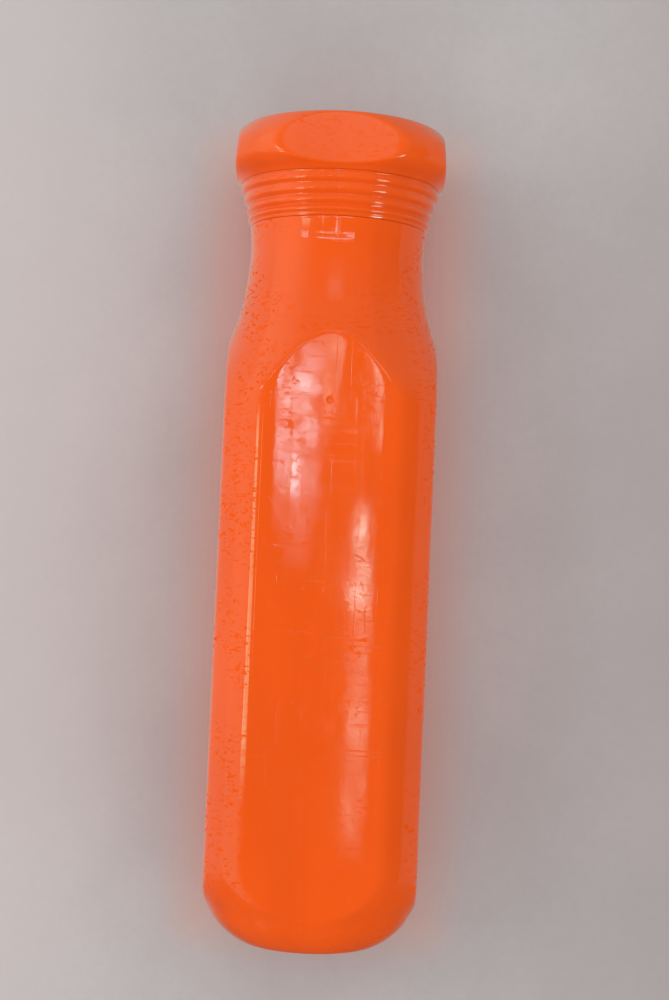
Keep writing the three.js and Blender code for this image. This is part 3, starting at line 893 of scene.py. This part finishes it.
def front_view_mask(n):
    """1 where the ray's start, the camera, is in a box in front of the bottle, 0 elsewhere."""
    geo = n.node("NewGeometry")
    dist = n.node("CameraData").outputs["View Distance"]
    to_eye = n.vector("SCALE", geo.outputs["Incoming"], scale=dist)
    x, y, z = n.split(n.vector("ADD", geo.outputs["Position"], to_eye))
    mask = n.math("LESS_THAN", y, -0.45)
    mask = n.mul(mask, n.math("LESS_THAN", n.math("ABSOLUTE", x), 0.17))
    off_z = n.math("ABSOLUTE", n.sub(z, 0.13))
    return n.mul(mask, n.math("LESS_THAN", off_z, 0.13))


def painted_bounce_and_shade(n, col, co):
    """Painted warm bounce of the bottle on the cloth close to it, painted lighter cloth to its left
    and painted shade to its right.
    """
    x, _, z = n.split(co)
    outside_z = n.math("MAXIMUM", n.sub(0.0, z), n.sub(z, 0.25))
    out_x = n.math("MAXIMUM", n.sub(n.math("ABSOLUTE", x), 0.036), 0.0)
    out_z = n.math("MAXIMUM", outside_z, 0.0)
    away = n.math("SQRT", n.add(n.math("POWER", out_x, 2.0), n.math("POWER", out_z, 2.0)))
    # painted orange bounce light on the cloth close round the bottle
    near = n.ramp(away, span=(0.017, -0.004), to=(0.0, 0.6))
    col = n.mix(near, col, (0.63, 0.42, 0.37, 1))
    # painted light on the cloth to the left of the bottle, painted shade to its right
    col = n.mix(n.ramp(x, span=(-0.040, -0.11), to=(0.0, 0.55)), col, (0.62, 0.575, 0.57, 1))
    return n.mix(n.ramp(x, span=(0.045, 0.16), to=(0.0, 0.75)), col, (0.385, 0.335, 0.337, 1))


def stage_surface(name, corners, low, high, backdrop):
    """Mottled cloth; the backdrop shows only in the front view, the floor only in others."""
    obj = quad(name, corners)
    mat = bpy.data.materials.new(name)
    n = Net(mat)
    out = n.node("OutputMaterial")
    co = n.node("TexCoord").outputs["Object"]
    mottle = n.ramp(n.noise(co, scale=9, detail=5, rough=0.6), span=(0.32, 0.68))
    weave = n.noise(co, scale=420, detail=4, rough=0.7)
    col = n.mix(mottle, low, high)
    col = n.mix(n.ramp(weave, span=(0.35, 0.65), to=(0.0, 0.12)), col, tint(low, 0.8))
    # the backdrop gets the painted bounce, light and shade round the bottle
    if backdrop:
        col = painted_bounce_and_shade(n, col, co)
    cloth = n.node("BsdfDiffuse", {"Color": col})
    clear = n.node("BsdfTransparent")
    mask = front_view_mask(n)
    if not backdrop:
        back_face = n.node("NewGeometry").outputs["Backfacing"]
        mask = n.mul(n.sub(1.0, mask), n.sub(1.0, back_face))
    mix = n.node("MixShader", {0: mask, 1: clear.outputs[0], 2: cloth.outputs[0]})
    n.fill(out, {"Surface": mix.outputs[0]})
    paint(obj, mat)
    obj.visible_diffuse = obj.visible_glossy = False
    obj.visible_shadow = obj.visible_transmission = False


TABLE_Y, TABLE_HALF = 0.0323, 3  # an upright sheet just behind the axis
FLOOR_HALF = 1.3
SQUARE = [(-1, -1), (1, -1), (1, 1), (-1, 1)]
stage_surface("table", [(x * TABLE_HALF, TABLE_Y, z * TABLE_HALF) for x, z in SQUARE],
              low=(0.455, 0.448, 0.450, 1), high=(0.51, 0.502, 0.504, 1), backdrop=True)
stage_surface("floor", [(x * FLOOR_HALF, y * FLOOR_HALF, 0) for x, y in SQUARE],
              low=(0.60, 0.575, 0.56, 1), high=(0.66, 0.635, 0.62, 1), backdrop=False)


# ------------------------------------------------------------------ reflected panels
def glow(name, corners, strength, colour, mottle, cells, soft, fine=None, skip=None):
    """A panel seen only as a reflection in glossy surfaces.

    mottle is how strongly it is broken up, cells and fine the (u, v) scale of the break-up,
    soft the (u, v) width of the faded edges. Surfaces between the heights in skip don't see it.
    """
    obj = quad(name, corners)
    mat = bpy.data.materials.new(name)
    n = Net(mat)
    out = n.node("OutputMaterial")
    uv = n.node("TexCoord").outputs["UV"]
    u, v, _ = n.split(uv)

    def edge(t, width):
        return n.ramp(n.math("MINIMUM", t, n.sub(1.0, t)), span=(0.0, width))

    level = n.mul(edge(u, soft[0]), edge(v, soft[1]))
    blotch = n.noise(n.scaled(uv, (*cells, 1)), scale=1.0, detail=3, rough=0.55)
    level = n.mul(level, n.ramp(blotch, span=(0.40, 0.60), to=(1.0 - mottle, 1.0 + mottle * 0.7)))
    if fine:
        flecks = n.noise(n.scaled(uv, (*fine, 1), turn=(0, 0, 0.2)), scale=1.0, rough=0.6)
        level = n.mul(level, n.ramp(flecks, span=(0.44, 0.56), to=(0.5, 1.25)))
    if skip:
        geo = n.node("NewGeometry")
        here, toward = n.split(geo.outputs["Position"]), n.split(geo.outputs["Incoming"])
        reach = n.node("LightPath").outputs["Ray Length"]
        source_z = n.add(here[2], n.mul(toward[2], reach))
        inside = n.mul(n.math("GREATER_THAN", source_z, skip[0]),
                       n.math("LESS_THAN", source_z, skip[1]))
        level = n.mul(level, n.sub(1.0, inside))
    light = n.node("Emission", {"Color": colour + (1,), "Strength": n.mul(level, strength)})
    clear = n.node("BsdfTransparent")
    both = n.node("AddShader", {0: clear.outputs[0], 1: light.outputs[0]})
    n.fill(out, {"Surface": both.outputs[0]})
    mat.cycles.emission_sampling = "NONE"
    paint(obj, mat)
    obj.visible_camera = obj.visible_diffuse = False
    obj.visible_shadow = obj.visible_transmission = False


FAR, STRIP_FAR, NEAR = 0.9, 0.95, 0.3  # panel distances from the axis
CAMERA_TO_FLAT = 0.533
IMAGE_Y = CAMERA_TO_FLAT - FLAT * MM  # the camera's mirror image in the front flat


def facet(points):
    """Where on the plane y = -FAR the camera sees by way of (x, z) mm on the front flat."""
    k = (IMAGE_Y + FAR) / CAMERA_TO_FLAT
    cx, _, cz = CAMERA_AT
    return [(cx + (x * MM - cx) * k, -FAR, cz + (z * MM - cz) * k) for x, z in points]


def box(x0, x1, z0, z1):
    return facet([(x0, z0), (x1, z0), (x1, z1), (x0, z1)])


def bearing(azimuth, dist, z):
    """The point at azimuth degrees to the right of -Y."""
    a = math.radians(azimuth)
    return (math.sin(a) * dist, -math.cos(a) * dist, z)


def sector(az0, az1, z0, z1, dist=FAR, lean=0.0):
    """A flat panel between two azimuths, its upper end narrowed by lean degrees each side."""
    return [bearing(az0, dist, z0), bearing(az1, dist, z0),
            bearing(az1 - lean, dist, z1), bearing(az0 + lean, dist, z1)]


# reflection tints
WHITE = (0.30, 1.0, 1.12)
WARM = (0.38, 1.0, 0.88)
AMBER = (0.25, 1.0, 0.62)
# bright parts of the window patch: x0, x1, z0, z1 on the flat in mm, strength
PATCHES = [
    (-18.6, -13.4, 165.0, 179.5, 16.0), (-11.8, -5.2, 163.5, 173.5, 15.0),
    (-16.4, -12.6, 142.0, 157.0, 16.0), (-12.4, -6.8, 131.5, 151.0, 16.0),
    (-14.0, -9.0, 156.0, 172.0, 6.0), (-8.4, -3.0, 146.0, 161.0, 6.0),
]
# lower and upper height of each slat of the blind
BLIND = [(0.2336, 0.2350), (0.2366, 0.2380), (0.2396, 0.2410), (0.2427, 0.2442), (0.2460, 0.2478)]
BEAD_SKIP = (0.018, 0.205)
# name, corners, strength, colour, mottle, cells, soft, fine, skip
GLOWS = [
    # a window's light on the upper half of the front flat, broken up as by leaves outside it
    ("refl_patch", facet([(-15.0, 121), (-3.2, 121), (-2.7, 192), (-18.4, 192)]),
     5.2, WHITE, 0.92, (3.4, 9.5), (0.04, 0.30), (11.0, 34.0)),
    *[(f"refl_patch_{k}", box(*sides), strength, WHITE, 0.6, (3.0, 4.0), (0.36, 0.36), (4.0, 8.0))
      for k, (*sides, strength) in enumerate(PATCHES, 1)],
    ("refl_faint", facet([(-13.0, 112), (-3.2, 112), (-3.0, 136), (-13.4, 136)]),
     1.3, WHITE, 0.7, (7.0, 1.2), (0.3, 0.3)),
    ("refl_streak", facet([(-1.6, 151), (0.3, 151), (5.0, 190), (-3.4, 190)]),
     3.4, WARM, 0.6, (2.5, 3.0), (0.08, 0.2)),
    # the wedge low on the front flat, narrowing upward
    ("refl_wedge_tip", facet([(7.4, 100), (15.0, 100), (11.0, 138), (10.4, 138)]),
     15.0, WARM, 0.4, (2.0, 4.0), (0.05, 0.16), (3.0, 12.0)),
    ("refl_wedge", facet([(8.8, 26), (15.0, 26), (14.2, 123), (8.8, 123)]),
     2.8, WARM, 0.55, (2.0, 6.0), (0.08, 0.20)),
    ("refl_wedge_mid", facet([(8.4, 62), (15.3, 62), (15.3, 78), (8.3, 78)]),
     2.6, WARM, 0.3, (2.0, 3.0), (0.2, 0.2)),
    # a narrow panel caught where the flat starts to roll off to the right
    ("refl_right", facet([(14.4, 148), (15.7, 148), (16.4, 182), (12.0, 185)]),
     8.0, WARM, 0.5, (1.5, 4.0), (0.14, 0.12)),
    # two tall panels caught by the long edge on the left
    ("strip_main", sector(-56, -26, -0.07, 0.266, STRIP_FAR, 8.5),
     4.6, AMBER, 0.3, (1.0, 7.0), (0.16, 0.16)),
    ("strip_thin", sector(-20.5, -18.5, 0.02, 0.255, STRIP_FAR),
     4.0, AMBER, 0.4, (1.0, 9.0), (0.2, 0.2)),
    # a window's outline, and a blind beside it, caught by the waisted neck
    *[(f"neck_blind_{k}", sector(-47.5, -36.5, *heights, NEAR),
       9.0, WHITE, 0.4, (2.2, 1.0), (0.16, 0.16)) for k, heights in enumerate(BLIND, 1)],
    ("neck_bar_1", sector(-28.0, -4.2, 0.2338, 0.2368, NEAR),
     8.4, WHITE, 0.6, (4.5, 1.0), (0.12, 0.12)),
    ("neck_bar_2", sector(4.6, 21.0, 0.2336, 0.2360, NEAR),
     7.4, WHITE, 0.6, (3.5, 1.0), (0.12, 0.12)),
    ("neck_bar_3", sector(-28.0, 21.0, 0.2462, 0.2486, NEAR),
     9.0, WHITE, 0.6, (7.0, 1.0), (0.06, 0.06)),
    ("neck_end", sector(9.0, 20.5, 0.2385, 0.2440, NEAR),
     7.0, WHITE, 0.5, (2.0, 2.0), (0.32, 0.32)),
    ("neck_end_2", sector(18.0, 21.0, 0.2340, 0.2484, NEAR),
     4.0, WHITE, 0.4, (2.0, 4.0), (0.2, 0.2)),
    # low and high lights that only the beads, the foot and the head catch
    ("bead_left", sector(-60, -46, -0.62, -0.28),
     9.0, WARM, 0.3, (2, 5.0), (0.1, 0.1), None, BEAD_SKIP),
    ("bead_right", sector(47, 63, -0.62, -0.24),
     22.0, WARM, 0.3, (2, 5.0), (0.1, 0.1), None, BEAD_SKIP),
    ("head_sheen", sector(-14, 13, 0.50, 0.84), 0.72, WHITE, 0.2, (2, 2.0), (0.36, 0.36)),
]
for row in GLOWS:
    glow(*row)

# ------------------------------------------------------------------ lamps
LAMP_AIM = (0, 0, 0.12)


def lamp(name, at, size, power, colour):
    data = bpy.data.lights.new(name, "AREA")
    data.shape, data.size, data.energy, data.color = "DISK", size, power, colour
    obj = link(name, data)
    obj.location = at
    obj.rotation_mode = "QUATERNION"
    obj.rotation_quaternion = (Vector(at) - Vector(LAMP_AIM)).to_track_quat("Z", "Y")
    obj.visible_glossy = False
    obj.visible_camera = False


lamp("key", at=(-1.25, -0.95, 0.35), size=1.1, power=6.0, colour=(1.0, 0.98, 0.965))
lamp("fill", at=(0.3, -1.6, 0.5), size=1.8, power=7.9, colour=(1.0, 0.99, 0.985))
lamp("back", at=(0.3, 1.7, 0.7), size=1.6, power=6.5, colour=(1.0, 0.99, 0.985))


# ------------------------------------------------------------------ world
def make_world():
    world = bpy.data.worlds.new("world")
    bpy.context.scene.world = world
    n = Net(world)
    out = n.node("OutputWorld")
    dx, dy, dz = n.split(n.node("TexCoord").outputs["Generated"])
    path = n.node("LightPath")
    # glossy surroundings: dark room in front, bright side on the left, the pale table behind
    left = n.mul(n.ramp(dx, span=(-0.35, -0.95)), 0.85)
    rise = n.mul(n.ramp(dz, span=(0.10, 0.75)), 0.34)
    room = n.add(n.add(0.085, left), rise)
    room_col = n.vector("SCALE", (0.56, 1.0, 0.86), scale=room)
    table = n.add(0.40, n.mul(n.ramp(dx, span=(0.2, -0.8)), 0.34))
    table = n.mul(table, n.ramp(dz, span=(-0.65, -0.15), to=(0.15, 1.0)))
    table_col = n.vector("SCALE", (0.72, 0.97, 0.92), scale=table)
    glossy = n.mix(n.ramp(dy, span=(-0.03, 0.05)), room_col, table_col)
    # diffuse surroundings: nearly even, a little stronger from the left and from below
    even = n.add(0.575, n.mul(n.ramp(dx, span=(0.6, -0.9)), 0.085))
    even = n.add(even, n.mul(n.ramp(dz, span=(-0.1, -0.9)), 0.30))
    even_col = n.vector("SCALE", (1.0, 0.965, 0.955), scale=even)
    col = n.mix(path.outputs["Is Glossy Ray"], even_col, glossy)
    col = n.mix(path.outputs["Is Camera Ray"], col, (0.62, 0.60, 0.59, 1))
    background = n.node("Background", {"Color": col, "Strength": 1.0})
    n.fill(out, {"Surface": background.outputs[0]})


make_world()
